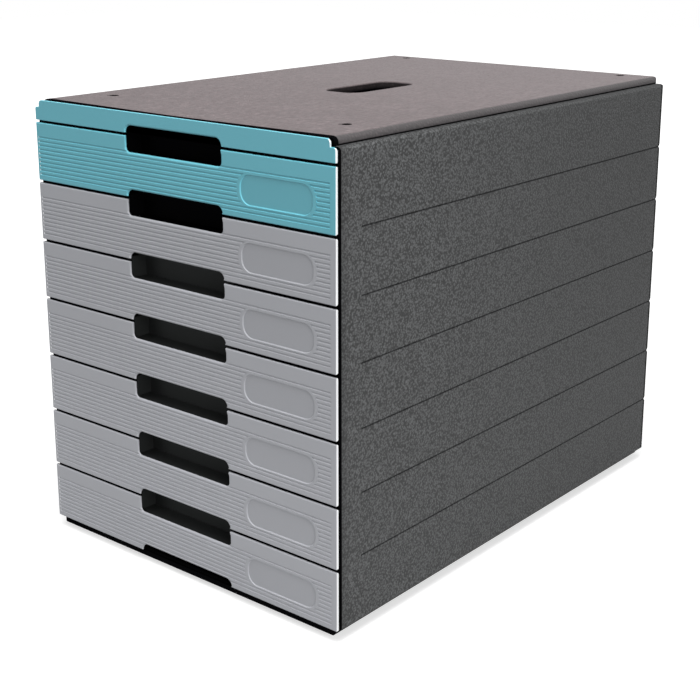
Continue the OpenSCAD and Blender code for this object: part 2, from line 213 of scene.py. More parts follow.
def mix_colours(share, first, second):
    """The first colour where share is 0 and the second where it is 1."""
    settings = {"data_type": "RGBA"}
    return share.node("ShaderNodeMix", settings, {0: share, 6: first, 7: second}, output=2)


def mix_numbers(share, first, second):
    """The first number where share is 0 and the second where it is 1."""
    return share.node("ShaderNodeMix", {"data_type": "FLOAT"}, {0: share, 2: first, 3: second})


def bump(height, depth_mm, strength):
    """Surface normal from a height of 0 to 1 that stands for depth_mm."""
    sockets = {"Height": height, "Distance": depth_mm * MM, "Strength": strength}
    return height.node("ShaderNodeBump", {}, sockets)


def scaled(colour, factor):
    """A colour made lighter or darker, as four numbers."""
    return (*(channel * factor for channel in colour), 1)


def lay_shade(material, mask):
    """Lays a dead black over a finish where the mask is 1. A dark colour alone isn't enough,
    because even black plastic mirrors the studio when it is seen at a flat angle."""
    tree = material.node_tree
    plastic = Wire(tree, tree.nodes["Principled BSDF"].outputs["BSDF"])
    black = mask.node("ShaderNodeBsdfDiffuse", {}, {"Color": SHADE})
    mixed = mask.node("ShaderNodeMixShader", {}, {0: mask, 1: plastic, 2: black})
    tree.links.new(mixed.socket, tree.nodes["Material Output"].inputs["Surface"])


print("plastic helpers ready")

# %% [markdown]
# ## Satin plastic of the fronts
# The teal and grey fronts have a fine satin grain and an even colour. One function makes both, as
# one mould does. They differ in colour, and in how strongly painted light and shade pick out their
# ribs. The outer ends of the fronts are glossier and carry a painted highlight, nearly white. The
# fine grooves get painted shade, the floor of the label field is painted a little darker, rims that
# face up or right get painted light and rims that face down painted shade, and the lower fronts
# are painted lighter, as light. Each of these is a mask that looks at the way the surface faces,
# how deep it lies or how high. The edges in the gaps are in deep shade.

# %% Front finishes
TEAL = (0.09, 0.318, 0.382)
LIGHT_GREY = (0.275, 0.28, 0.3)
HIGHLIGHT_COLOUR = (0.85, 0.86, 0.87, 1)
UNEVENNESS = 0.05
DRIFT_SHARE = 0.7
FRONT_ROUGHNESS = 0.42
RUBBED_RANGE = 0.12
POLISH = 0.2

# How strongly each mask shows, and the tone that it brings, as a factor of the colour
GROOVE_SHADE_SHARE, GROOVE_SHADE_TONE = 0.12, 0.3
LABEL_SHARE, LABEL_TONE = 0.16, 0.5
LIT_SHARE, LIT_TONE = 0.42, 1.9
SHADED_SHARE, SHADED_TONE = 0.1, 0.3
SHADED_BY_RELIEF = 0.25
LOW_LIGHT_SHARE, LOW_LIGHT_TONE = 0.16, 2

# How squarely a surface has to face one way for a mask to rise, where 1 is straight that way
FACING_FRONT = (0.5, 0.8)
FACING_ASIDE = (0.35, 0.6)
FACING_LIGHT = (0.2, 0.65)

END_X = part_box("drawer_front_1")[1].x
FRONT_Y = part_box("drawer_front_1")[0].y
STRIP_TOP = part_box("top_trim")[1].z
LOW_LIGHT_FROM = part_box("drawer_front_7")[0].z
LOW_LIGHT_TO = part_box("drawer_front_2")[1].z


def satin_plastic(name, colour, relief):
    """Satin plastic of one colour. Relief: how strongly painted light and shade pick out its ribs."""
    material, shader, place = start_finish(name)
    drift = noise(place, size_mm=90, detail=3)
    speck = noise(place, size_mm=0.5, detail=1)
    uneven = drift * DRIFT_SHARE + speck * (1 - DRIFT_SHARE)
    shade = mix_colours(uneven, scaled(colour, 1 - UNEVENNESS), scaled(colour, 1 + UNEVENNESS))
    # painted shade: the fine grooves are painted darker
    shade = mix_colours(shaded_grooves(place) * (GROOVE_SHADE_SHARE * relief), shade, scaled(colour, GROOVE_SHADE_TONE))
    # the floor of the label field is painted a little darker
    shade = mix_colours(label_field(place) * LABEL_SHARE, shade, scaled(colour, LABEL_TONE))
    # painted light on rims that face up or right, and painted shade on rims that face down
    lit, shaded = lit_and_shaded(place)
    shaded_share = SHADED_SHARE + SHADED_BY_RELIEF * (relief - 1)
    shade = mix_colours(lit * (LIT_SHARE * relief), shade, scaled(colour, LIT_TONE))
    shade = mix_colours(shaded * shaded_share, shade, scaled(colour, SHADED_TONE))
    # painted light: the lower fronts are painted lighter
    _, _, height = along_axes(place)
    painted_low_light = 1 - step_between(height, LOW_LIGHT_FROM, LOW_LIGHT_TO)
    shade = mix_colours(painted_low_light * LOW_LIGHT_SHARE, shade, scaled(colour, LOW_LIGHT_TONE))
    # painted highlight: the outer ends of a front are painted nearly white, and are glossier
    end_highlight = painted_end_highlight(place)
    rubbed = noise(place, size_mm=25, detail=4)
    grain = noise(place, size_mm=0.35, detail=2)
    place.feed(shader.inputs["Base Color"], mix_colours(end_highlight, shade, HIGHLIGHT_COLOUR))
    place.feed(shader.inputs["Roughness"], rubbed * RUBBED_RANGE + FRONT_ROUGHNESS - end_highlight * POLISH)
    place.feed(shader.inputs["Normal"], bump(grain, depth_mm=0.02, strength=0.35))
    lay_shade(material, in_gaps(place))
    return material


def beyond_rim(place):
    """1 from a millimetre behind the face of the fronts, where the rounded rim has ended."""
    _, back, _ = along_axes(place)
    return step_between(back, *mm_from(FRONT_Y, 1, 1.15))


def in_gaps(place):
    """1 on the edges of a front beyond its rim: they lie in the gaps. The strip's top edge lies
    open, so it is left out."""
    _, frontward, _ = facing(place)
    _, _, height = along_axes(place)
    edge = 1 - step_between(frontward.size(), *FACING_FRONT)
    below_top = 1 - step_between(height, *mm_from(STRIP_TOP, -0.4, -0.1))
    return edge * beyond_rim(place) * below_top


def painted_end_highlight(place):
    """1 on the rim that faces left or right at the outer ends of a front, where a highlight is painted.
    """
    sideways, _, _ = facing(place)
    across, _, _ = along_axes(place)
    turned = step_between(sideways.size(), *FACING_ASIDE)
    end = step_between(across.size(), *mm_from(END_X, -6, -5.8))
    return turned * end * (1 - beyond_rim(place))


def shaded_grooves(place):
    """1 in the fine grooves, which are deeper than the face but not as deep as the label field.
    The grooves are painted darker, as shade.
    """
    _, back, _ = along_axes(place)
    return band(back, mm_from(FRONT_Y, 0.05, 0.35), mm_from(FRONT_Y, 0.5, 0.6))


def label_field(place):
    """1 on the floor of the label field, which is painted a little darker."""
    _, back, _ = along_axes(place)
    return band(back, mm_from(FRONT_Y, 0.6, 0.68), mm_from(FRONT_Y, 0.72, 0.8))


def lit_and_shaded(place):
    """Two masks for painted light and shade: rims that face up or right, painted lighter, and rims
    that face down, painted darker."""
    sideways, _, upward = facing(place)
    lit = step_between(upward, *FACING_LIGHT).either(step_between(sideways, *FACING_LIGHT))
    return lit, step_between(0 - upward, *FACING_LIGHT)


front_teal = satin_plastic("front_teal_satin", TEAL, relief=1.7)
front_grey = satin_plastic("front_grey_satin", LIGHT_GREY, relief=1)
print("made", front_teal.name, "and", front_grey.name)

# %% [markdown]
# ## Grained plastic of the housing
# The side walls and the cover carry a coarse grain that was spark-eroded into the mould: rounded
# lumps between one and two millimetres across, each in the middle of a Voronoi cell. The lumps are
# painted pale, as painted highlights of the light they catch, and the hollows between them darker,
# as painted shade. One function grains both, because they are one plastic with two grains. The wall
# is painted darker towards the rear and beside the fronts, as shade. Its front edge, grooves, rear
# corner and shoulder lie in shade, so black is laid over them.

# %% Housing finish
CHARCOAL = (0.049, 0.0505, 0.0515)
WALL_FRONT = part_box("side_wall_right")[0].y
WALL_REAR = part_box("side_wall_right")[1].y
WALL_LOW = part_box("side_wall_right")[0].z
SHOULDER_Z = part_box("side_wall_right")[1].z
SIDE_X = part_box("side_wall_right")[1].x

LUMP_EDGE = (0.15, 0.7)  # how far from the middle of its cell a lump falls away
DARKER, LIGHTER = 0.8, 1.2  # how the contrast is shared between the hollows and the lumps
GRAIN_DRIFT_SHARE, GRAIN_DRIFT_TONE = 0.3, 1.3
HOUSING_ROUGHNESS = 0.5
LUMP_RANGE = 0.12
GRAIN_STRENGTH = 0.9

SPECK_RISE = (0.58, 0.7)
SPECK_SHARE, SPECK_TONE = 0.5, 2.6
REAR_SHADE_SHARE, REAR_SHADE_TONE = 0.25, 0.45  # the share grows with the height, by 1 for each metre
BESIDE_FRONT_SHADE = 0.4
WALL_GROOVE_SHARE = 0.65
REAR_CORNER_SHARE = 0.8
SHOULDER_SHARE = 0.3
FACING_SIDE = (0.3, 0.6)


def grained_plastic(name, colour, lump_mm, depth_mm, contrast):
    """Plastic with moulded grain, its lumps painted pale as light and its hollows darker as shade.
    Returns the colour too, for masks to be laid over.
    """
    material, shader, place = start_finish(name)
    from_middle = place.node("ShaderNodeTexVoronoi", {}, {"Vector": place, "Scale": 1 / (lump_mm * MM)})
    lumps = 1 - step_between(from_middle, *LUMP_EDGE)
    drift = noise(place, size_mm=110, detail=3)
    # painted light on the lumps and painted shade in the hollows between them
    hollow, lump = scaled(colour, 1 - contrast * DARKER), scaled(colour, 1 + contrast * LIGHTER)
    shade = mix_colours(lumps, hollow, lump)
    shade = mix_colours(drift * GRAIN_DRIFT_SHARE, shade, scaled(colour, GRAIN_DRIFT_TONE))
    place.feed(shader.inputs["Roughness"], lumps * LUMP_RANGE + HOUSING_ROUGHNESS)
    place.feed(shader.inputs["Normal"], bump(lumps, depth_mm, GRAIN_STRENGTH))
    return material, shader, place, shade


def wall_plastic(name):
    """Charcoal plastic of the walls, speckled towards the front, with painted shade towards the rear
    and beside the fronts.
    """
    material, shader, place, shade = grained_plastic(name, CHARCOAL, lump_mm=1.4, depth_mm=0.2,
                                                     contrast=0.95)
    _, back, height = along_axes(place)
    rearward = step_between(back, WALL_FRONT, WALL_REAR)
    specks = step_between(noise(place, size_mm=1.7, detail=0), *SPECK_RISE) * (1 - rearward)
    shade = mix_colours(specks * SPECK_SHARE, shade, scaled(CHARCOAL, SPECK_TONE))
    # painted shade: darker towards the rear, and the more so the higher up
    shade = mix_colours(rearward * (height + REAR_SHADE_SHARE), shade, scaled(CHARCOAL, REAR_SHADE_TONE))
    # painted shade beside the fronts
    beside_front = 1 - step_between(back, *mm_from(WALL_FRONT, 0, 9))
    shade = mix_colours(beside_front * BESIDE_FRONT_SHADE, shade, SHADE)
    place.feed(shader.inputs["Base Color"], shade)
    lay_shade(material, wall_edges(place).either(wall_grooves(place) * WALL_GROOVE_SHARE))
    return material


def wall_edges(place):
    """1 on a wall's front edge, and less on its rear corner and along its shoulder."""
    _, back, height = along_axes(place)
    sideways, _, _ = facing(place)
    front_rim = 1 - step_between(back, *mm_from(WALL_FRONT, 0.7, 0.9))
    near_rear = step_between(back, *mm_from(WALL_REAR, -5.5, -4))
    rear_rim = near_rear * step_between(sideways.size(), *FACING_SIDE)
    shoulder = step_between(height, *mm_from(SHOULDER_Z, -1.4, -0.2))
    return front_rim.either(rear_rim * REAR_CORNER_SHARE).either(shoulder * SHOULDER_SHARE)


def wall_grooves(place):
    """1 in the grooves of a side wall, which lie a little deeper than the wall between its edges."""
    across, _, height = along_axes(place)
    depth = SIDE_X - across.size()
    sunk = band(depth, mm_from(0, 0.02, 0.2), mm_from(0, 0.6, 0.7))
    return sunk * band(height, mm_from(WALL_LOW, 3, 3.5), mm_from(SHOULDER_Z, -5, -4.5))


housing_charcoal = wall_plastic("housing_charcoal_grain")
print("made", housing_charcoal.name)

# %% [markdown]
# The cover's deck is painted paler than the sides, a lighter grey for the light from above and the
# sheen that it catches, and paler still towards the rear. Patches, mottles and clouds of three
# sizes break up its colour. The slot, the holes, the front edge behind the strip and the seams lie
# in shade. They are found by their place, and black is laid over them.

# %% Cover finish
# painted light: the deck is painted a lighter grey than the charcoal sides, for the light and sheen
# from above
LIT_DECK_GREY = (0.164, 0.133, 0.136)
PALER_REAR_DECK = (0.185, 0.160, 0.163, 1)
DECK_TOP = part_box("top_cover")[1].z
DECK_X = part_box("top_cover")[1].x
DECK_FRONT = FRONT_Y + 3.9 * MM
HOLE_X = 97 * MM
ROW_MIDDLE = 13.5 * MM
ROW_HALF = 154 * MM
HOLE_RIM = 3.2 * MM
VENT_ASIDE = -2.9 * MM
VENT_AHEAD = -2.4 * MM
VENT_RIM = 1.1 * MM
FRONT_LINE_W = 2.8 * MM

SOFT_BORDER = (0.35, 0.65)
CRISP_BORDER = (0.4, 0.6)
BLOTCH_ROUGHNESS = 0.6
PATCH_SHARE, PATCH_TONE = 0.5, 0.35
MOTTLE_SHARE, MOTTLE_TONE = 0.4, 0.5
CLOUD_SHARE, CLOUD_TONE = 0.35, 0.6
PALER_REAR_SHARE = 0.45
SIDE_SHARE, SIDE_TONE = 0.75, 1.1
UPPER_SHARE = 0.8
REAR_LINE_SHARE = 0.6
DULL_SPECULAR = 0.15


def cover_plastic(name):
    """Plastic of the cover, with painted light: its deck a lighter grey, paler towards the rear, and
    charcoal down its sides.
    """
    material, shader, place, shade = grained_plastic(name, LIT_DECK_GREY, lump_mm=1.9, depth_mm=0.14,
                                                     contrast=0.3)
    across, back, _ = along_axes(place)
    drawn_out = place.node("ShaderNodeMapping", {}, {"Vector": place, "Scale": (1, 0.5, 1)})
    patches = step_between(noise(drawn_out, 2.3, 2, BLOTCH_ROUGHNESS), *SOFT_BORDER)
    mottles = step_between(noise(drawn_out, 6.5, 3, BLOTCH_ROUGHNESS), *CRISP_BORDER)
    clouds = step_between(noise(place, 38, 4, BLOTCH_ROUGHNESS), *SOFT_BORDER)
    rearward = step_between(back, DECK_FRONT, WALL_REAR)
    side = step_between(across.size(), *mm_from(DECK_X, -3, -1.8))
    shade = mix_colours(patches * (1 - side) * PATCH_SHARE, shade, scaled(LIT_DECK_GREY, PATCH_TONE))
    shade = mix_colours(mottles * (1 - side) * MOTTLE_SHARE, shade, scaled(LIT_DECK_GREY, MOTTLE_TONE))
    shade = mix_colours(clouds * CLOUD_SHARE, shade, scaled(LIT_DECK_GREY, CLOUD_TONE))
    # the deck is painted paler towards the rear
    shade = mix_colours(rearward * PALER_REAR_SHARE, shade, PALER_REAR_DECK)
    shade = mix_colours(side * SIDE_SHARE, shade, scaled(CHARCOAL, SIDE_TONE))
    place.feed(shader.inputs["Base Color"], shade)
    shader.inputs["Specular IOR Level"].default_value = DULL_SPECULAR
    lay_shade(material, openings(place).either(edge_lines(place)))
    return material


def openings(place):
    """1 inside the slot and the holes, and on a rim round each hole, where black is laid as painted
    shade.
    """
    across, back, height = along_axes(place)
    middle = 1 - step_between(across.size(), *mm_from(DECK_X, -6, -5))
    near_top = step_between(height, *mm_from(DECK_TOP, -1.2, -0.15))
    deep_down = 1 - step_between(height, *mm_from(DECK_TOP, -6, -2))
    below = (1 - near_top) * UPPER_SHARE + deep_down * (1 - UPPER_SHARE)
    beside = across - across.math("SIGN", across) * HOLE_X
    # painted shade: a black rim round each hole
    hole = ring(beside, (back - ROW_MIDDLE).size() - ROW_HALF, HOLE_RIM)
    vent = ring(beside - VENT_ASIDE, back - (ROW_MIDDLE - ROW_HALF) - VENT_AHEAD, VENT_RIM)
    return (below * middle).either(hole).either(vent)


def ring(across, back, radius):
    """1 within a radius of a point, from the distances to it along two axes."""
    squared = across * across + back * back
    apart = squared.math("SQRT", squared)
    return 1 - step_between(apart, *mm_from(radius, -0.3, 0))


def edge_lines(place):
    """1 along the cover's front edge, its rear edge and the seam on top of the side walls.
    The line along the front edge is widest at its two ends."""
    across, back, height = along_axes(place)
    out = across / DECK_X
    front = 1 - step_between(back - DECK_FRONT - out * out * FRONT_LINE_W, *mm_from(0, 0.2, 0.6))
    rear = step_between(back, *mm_from(WALL_REAR, -4.6, -3.8))
    seam = 1 - step_between(height, *mm_from(SHOULDER_Z, 0.5, 1.3))
    return front.either(rear * REAR_LINE_SHARE).either(seam)


cover_grey = cover_plastic("cover_lit_grey_grain")
print("made", cover_grey.name)

# %% [markdown]
# ## Black trays and rubber feet
# The trays and the base are black, with a dull satin surface that sliding papers polish in streaks
# along the drawer. The finger well at the front of a tray is matt: painted lighter in the lower
# drawers, as painted light that reaches into them, and in deep shade in the upper ones. The rest of
# a tray's front wall is in deep shade in all of them, because it lies right behind the front. The
# feet are soft rubber: rougher, with a little dust on them.

# %% Tray and rubber finishes
TRAY_DARK = (0.013, 0.014, 0.015, 1)
TRAY_PALE = (0.02, 0.021, 0.022, 1)
# painted light: the pale colour of the finger wells in the lower drawers
LIT_WELL_COLOUR = (0.028, 0.030, 0.030, 1)
RUBBER_COLOUR = (0.012, 0.012, 0.012, 1)
RUBBER_DUST = (0.035, 0.034, 0.032, 1)
TRAY_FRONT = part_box("drawer_tray_1")[0].y
WELL_BACK = TRAY_FRONT + 14.5 * MM
WELL_X = 45.5 * MM
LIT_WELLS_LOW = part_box("drawer_tray_7")[0].z + 5 * MM
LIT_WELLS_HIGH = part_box("drawer_tray_3")[1].z + 4 * MM
TRAY_ROUGHNESS = 0.36
STREAK_RANGE = 0.2
WELL_ROUGHNESS = 0.9
RUBBER_ROUGHNESS = 0.72
DUST_RANGE = 0.15
DUST_RISE = (0.45, 0.75)


def tray_plastic(name):
    """Black satin plastic, matt in the finger well, which gets painted light in the lower drawers."""
    material, shader, place = start_finish(name)
    across, back, height = along_axes(place)
    ahead = 1 - step_between(back, *mm_from(WELL_BACK, 0, 0.5))
    well = ahead * (1 - step_between(across.size(), *mm_from(WELL_X, 0, 0.5)))
    # painted light in the finger wells of the lower drawers, and painted shade in the upper ones
    lit_wells = band(height, mm_from(LIT_WELLS_LOW, 0, 1), mm_from(LIT_WELLS_HIGH, 0, 1))
    behind_fronts = 1 - step_between(back, *mm_from(TRAY_FRONT, 0.4, 0.5))
    long_way = place.node("ShaderNodeMapping", {}, {"Vector": place, "Scale": (1, 0.08, 1)})
    streaks = noise(long_way, size_mm=4, detail=4)
    drift = noise(place, size_mm=60, detail=2)
    satin = mix_colours(drift, TRAY_DARK, TRAY_PALE)
    place.feed(shader.inputs["Base Color"], mix_colours(well, satin, LIT_WELL_COLOUR))
    polished = streaks * STREAK_RANGE + TRAY_ROUGHNESS
    place.feed(shader.inputs["Roughness"], mix_numbers(well, polished, WELL_ROUGHNESS))
    grain = noise(place, size_mm=0.4, detail=2)
    place.feed(shader.inputs["Normal"], bump(grain, depth_mm=0.02, strength=0.4))
    shader.inputs["Specular IOR Level"].default_value = DULL_SPECULAR
    lay_shade(material, (well * (1 - lit_wells)).either(behind_fronts * (1 - well * lit_wells)))
    return material


def rubber(name):
    """Dull black rubber with a little dust on it."""
    material, shader, place = start_finish(name)
    dust = noise(place, size_mm=6, detail=5, roughness=0.65)
    shade = mix_colours(step_between(dust, *DUST_RISE), RUBBER_COLOUR, RUBBER_DUST)
    grain = noise(place, size_mm=0.3, detail=2)
    place.feed(shader.inputs["Base Color"], shade)
    place.feed(shader.inputs["Roughness"], dust * DUST_RANGE + RUBBER_ROUGHNESS)
    place.feed(shader.inputs["Normal"], bump(grain, depth_mm=0.03, strength=0.6))
    return material


tray_black = tray_plastic("tray_black_satin")
foot_rubber = rubber("foot_rubber_dull")
print("made", tray_black.name, "and", foot_rubber.name)

# %% [markdown]
# ## Modelling helpers
# The pieces are moulded, so they are blocks with rounded edges, from which notches and grooves are
# taken. Some helpers add a block at its size and place and round chosen edges in edit mode. Others
# take one shape from another, add it, or keep what both have in common.

# %% Adding and rounding a block
PAST = 2  # mm that a cutter reaches past what it cuts
NEAR = 0.01  # mm within which two places are the same
SHARP = math.radians(40)
SMOOTH = math.radians(50)
SOFT_SEGMENTS = 2


def clear_selection():
    """Deselects every object, because operators act on all that is selected."""
    bpy.ops.object.select_all(action="DESELECT")


def make_active(piece):
    """Selects one piece alone, for the operators that follow."""
    clear_selection()
    piece.select_set(True)
    bpy.context.view_layer.objects.active = piece


def add_block(name, low, high):
    """Adds a block from its low to its high corner, given in millimetres."""
    low, high = Vector(low) * MM, Vector(high) * MM
    clear_selection()
    bpy.ops.mesh.primitive_cube_add(size=1, location=(low + high) / 2)
    block = bpy.context.object
    block.name = name
    block.scale = high - low
    bpy.ops.object.transform_apply(location=True, rotation=True, scale=True)
    return block


def unselect_edges(piece):
    """Deselects all parts of a mesh, with edges as what is picked next."""
    make_active(piece)
    bpy.ops.object.mode_set(mode="EDIT")
    bpy.ops.mesh.select_mode(type="EDGE")
    bpy.ops.mesh.select_all(action="DESELECT")
    bpy.ops.object.mode_set(mode="OBJECT")


def bevel_edges(piece, picked, width, segments):
    """Bevels the edges whose numbers are picked, in edit mode."""
    unselect_edges(piece)
    for i in picked:
        piece.data.edges[i].select = True
    bpy.ops.object.mode_set(mode="EDIT")
    bpy.ops.mesh.bevel(offset=width * MM, segments=segments, affect="EDGES")
    bpy.ops.object.mode_set(mode="OBJECT")


def round_edges(piece, radius, chosen):
    """Rounds the edges whose two ends pass a test. The ends are in millimetres, and a larger
    radius gets more segments."""
    points = [point.co / MM for point in piece.data.vertices]
    picked = [edge.index for edge in piece.data.edges if chosen(*(points[i] for i in edge.vertices))]
    bevel_edges(piece, picked, radius, 3 + round(1.5 * radius))


def add_prism(name, low, high, axis, radii):
    """Adds a block whose four edges along one axis are rounded, each with its own radius.
    Seen along the axis, they go low left, low right, high right, high left."""
    block = add_block(name, low, high)
    across, up = [side for side in (X, Y, Z) if side != axis]
    corners = ((low, low), (high, low), (high, high), (low, high))
    for (side_corner, height_corner), radius in zip(corners, radii):
        place = (side_corner[across], height_corner[up])

        def at_corner(a, b):
            """Whether an edge runs along the axis at this corner."""
            return all(math.dist((end[across], end[up]), place) < NEAR for end in (a, b))

        if radius:
            round_edges(block, radius, at_corner)
    return block


print("block helpers ready")

# %% Carving, adding and keeping
def combine(piece, other, operation):
    """Changes a piece by another shape, which is used up."""
    step = piece.modifiers.new("combine", "BOOLEAN")
    step.operation = operation
    step.solver = "EXACT"
    step.object = other
    make_active(piece)
    bpy.ops.object.modifier_apply(modifier=step.name)
    bpy.data.objects.remove(other)


def carve(piece, cutter):
    """Takes a cutter from a piece."""
    combine(piece, cutter, "DIFFERENCE")


def add_to(piece, other):
    """Adds another shape to a piece."""
    combine(piece, other, "UNION")


def soft_block(name, low, high, front_r=(), side_r=(), plan_r=()):
    """Adds a block with its own corner radii seen from the front, the side and above."""
    piece = None
    for axis, radii in ((Y, front_r), (X, side_r), (Z, plan_r)):
        if not any(radii):
            continue
        longer_low, longer_high = list(low), list(high)
        if piece:
            longer_low[axis] -= PAST
            longer_high[axis] += PAST
        prism = add_prism(name, longer_low, longer_high, axis, radii)
        if piece:
            combine(piece, prism, "INTERSECT")
        else:
            piece = prism
    piece.name = name
    return piece


def soften(piece, width):
    """Breaks every sharp edge by a small width and shades the piece smooth between them."""
    make_active(piece)
    edges = piece.modifiers.new("soft edges", "BEVEL")
    edges.width = width * MM
    edges.segments = SOFT_SEGMENTS
    edges.limit_method = "ANGLE"
    edges.angle_limit = SHARP
    edges.use_clamp_overlap = False
    bpy.ops.object.modifier_apply(modifier=edges.name)
    bpy.ops.object.shade_smooth_by_angle(angle=SMOOTH)


def soften_face(piece, width, back_y):
    """Breaks the sharp edges in front of back_y by a small width. The others are out of sight, and
    so close together that their breaks would run into each other."""
    unselect_edges(piece)
    bpy.ops.object.mode_set(mode="EDIT")
    bpy.ops.mesh.edges_select_sharp(sharpness=SHARP)
    bpy.ops.object.mode_set(mode="OBJECT")
    points = [point.co / MM for point in piece.data.vertices]
    seen = [edge.index for edge in piece.data.edges
            if edge.select and all(points[i].y < back_y for i in edge.vertices)]
    bevel_edges(piece, seen, width, SOFT_SEGMENTS)
    bpy.ops.object.shade_smooth_by_angle(angle=SMOOTH)


def even_shading(piece):
    """Lets the large flat faces set the normals at their borders."""
    make_active(piece)
    even = piece.modifiers.new("even shading", "WEIGHTED_NORMAL")
    even.keep_sharp = True
    bpy.ops.object.modifier_apply(modifier=even.name)


def finish_piece(piece, material, slot, body, *nodes):
    """Gives a piece its finish and body, and hides the CAD nodes it stands for."""
    piece.data.materials.clear()
    piece.data.materials.append(material)
    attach(piece, body)
    if nodes:
        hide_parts(*nodes)


print("carving helpers ready")

# %% [markdown]
# ## Drawer fronts
# All seven fronts come from one mould, so one is modelled and copied. It is a plate with half a
# finger notch in its lower edge and half of the next one in its upper edge. Its edges are thinner
# at the left and right, which leaves a dark gap in front of the side wall. A row of fine grooves
# runs across it, and stops at a smooth border round the label field.

# %% One drawer front
FRONT_T = 3.2
LOW_CORNER_R = 1.8
HIGH_CORNER_R = 0.9
LEVEL_EDGE_R = 0.8
UPRIGHT_EDGE_R = 1.5
SOFT_W = 0.22
SEEN_T = 1.5
THIN_EDGE_T = 1.7
THIN_EDGE_W = 3.5
NOTCH_HALF_W = 40
NOTCH_DOWN = 10.7
NOTCH_UP = 5.4
NOTCH_LOW_R = 2.75
NOTCH_HIGH_R = 4.4
NOTCH_EDGE_T = 1.6
NOTCH_EDGE_W = 2
LIP_R = 1.3
GAP = 1.7
LABEL_LOW = Vector((54.5, 0, 8.8))
LABEL_HIGH = Vector((108.5, 0, 26.2))
LABEL_R = 7.5
LABEL_DEPTH = 0.7
LABEL_DISH_R = 0.6
LABEL_BORDER = 2.4

front_low, front_high = (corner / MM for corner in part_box("drawer_front_1"))
front_high.y = front_low.y + FRONT_T
GAP_BELOW = front_low.z - GAP / 2
PITCH = front_high.z - front_low.z + GAP


def notch_prism(gap_height, border, front_y):
    """The finger notch round the gap at a height, grown by a border, from front_y back."""
    low = (-NOTCH_HALF_W - border, front_y, gap_height - NOTCH_DOWN - border)
    high = (NOTCH_HALF_W + border, front_high.y + PAST, gap_height + NOTCH_UP + border)
    low_r, high_r = NOTCH_LOW_R + border, NOTCH_HIGH_R + border
    return add_prism("notch", low, high, Y, (low_r, low_r, high_r, high_r))


def on_lip(gap_height):
    """A test for the front edge of the notch round the gap at a height."""
    def chosen(a, b):
        """Whether both ends of an edge lie on the lip."""
        return all(abs(end.y - front_low.y) < NEAR and abs(end.x) < NOTCH_HALF_W + NEAR
                   and -NOTCH_DOWN - NEAR < end.z - gap_height < NOTCH_UP + NEAR for end in (a, b))

    return chosen


def cut_notch(piece, gap_height):
    """Cuts the notch, thins the piece behind its edge, and rolls that edge in at the front."""
    carve(piece, notch_prism(gap_height, 0, front_low.y - PAST))
    carve(piece, notch_prism(gap_height, NOTCH_EDGE_W, front_low.y + NOTCH_EDGE_T))
    round_edges(piece, LIP_R, on_lip(gap_height))


def thin_edges(piece, low_z, high_z):
    """Thins the left and right edges of a front, from behind."""
    for side in (-1, 1):
        inner, outer = sorted((side * (front_high.x - THIN_EDGE_W), side * (front_high.x + PAST)))
        carve(piece, add_block("rebate", (inner, front_low.y + THIN_EDGE_T, low_z - PAST),
                               (outer, front_high.y + PAST, high_z + PAST)))


def label_prism(border, depth):
    """The label field cut to a depth, and grown by a border: all of it at the ends, but only a
    quarter above and below."""
    grow = Vector((border, 0, border / 4))
    low, high = LABEL_LOW - grow, LABEL_HIGH + grow
    low.y, high.y = front_low.y - PAST, front_low.y + depth
    low.z += GAP_BELOW
    high.z += GAP_BELOW
    radius = LABEL_R + border / 4
    return add_prism("label", low, high, Y, (radius,) * 4)


front = soft_block("drawer_front", front_low, front_high,
                   front_r=(LOW_CORNER_R, LOW_CORNER_R, HIGH_CORNER_R, HIGH_CORNER_R),
                   side_r=(LEVEL_EDGE_R, 0, 0, LEVEL_EDGE_R),
                   plan_r=(UPRIGHT_EDGE_R, UPRIGHT_EDGE_R, 0, 0))
thin_edges(front, front_low.z, front_high.z)
cut_notch(front, GAP_BELOW)
cut_notch(front, GAP_BELOW + PITCH)
label_cutter = label_prism(0, LABEL_DEPTH)
round_edges(label_cutter, LABEL_DISH_R, lambda a, b: a.y > front_low.y and b.y > front_low.y)
carve(front, label_cutter)
soften_face(front, SOFT_W, front_low.y + SEEN_T)
print("front plate:", len(front.data.polygons), "faces")

# %% [markdown]
# The grooves are cut by a row of thin rods that lie half sunk in the face. One rod is modelled and
# an Array repeats it. The border of the label field is taken from the rods first, so the grooves
# stop there in an even curve.

# %% Fine grooves across a front
GROOVES = 10
GROOVE_PITCH = 2.63
GROOVE_LOW = 4.8
GROOVE_R = 0.74
GROOVE_DEPTH = 0.5
GROOVE_LEFT = -122.5
GROOVE_RIGHT = 120.5
GROOVE_SIDES = 12


def groove_cutter():
    """The row of rods that cut the fine grooves."""
    place = Vector(((GROOVE_LEFT + GROOVE_RIGHT) / 2, front_low.y + GROOVE_DEPTH - GROOVE_R,
                    GAP_BELOW + GROOVE_LOW))
    clear_selection()
    bpy.ops.mesh.primitive_cylinder_add(vertices=GROOVE_SIDES, radius=GROOVE_R * MM,
                                        depth=(GROOVE_RIGHT - GROOVE_LEFT) * MM,
                                        location=place * MM, rotation=(0, math.pi / 2, 0))
    rods = bpy.context.object
    bpy.ops.object.transform_apply(location=True, rotation=True, scale=True)
    row = rods.modifiers.new("row", "ARRAY")
    row.count = GROOVES
    row.use_relative_offset = False
    row.use_constant_offset = True
    row.constant_offset_displace = (0, 0, GROOVE_PITCH * MM)
    bpy.ops.object.modifier_apply(modifier=row.name)
    carve(rods, label_prism(LABEL_BORDER, PAST))
    return rods


carve(front, groove_cutter())
print("grooved front:", len(front.data.polygons), "faces")

# %% [markdown]
# Four snap tabs behind the front hook through windows in the tray. They show only when a drawer is
# open, so they are plain: a tongue with a small hook on its end.

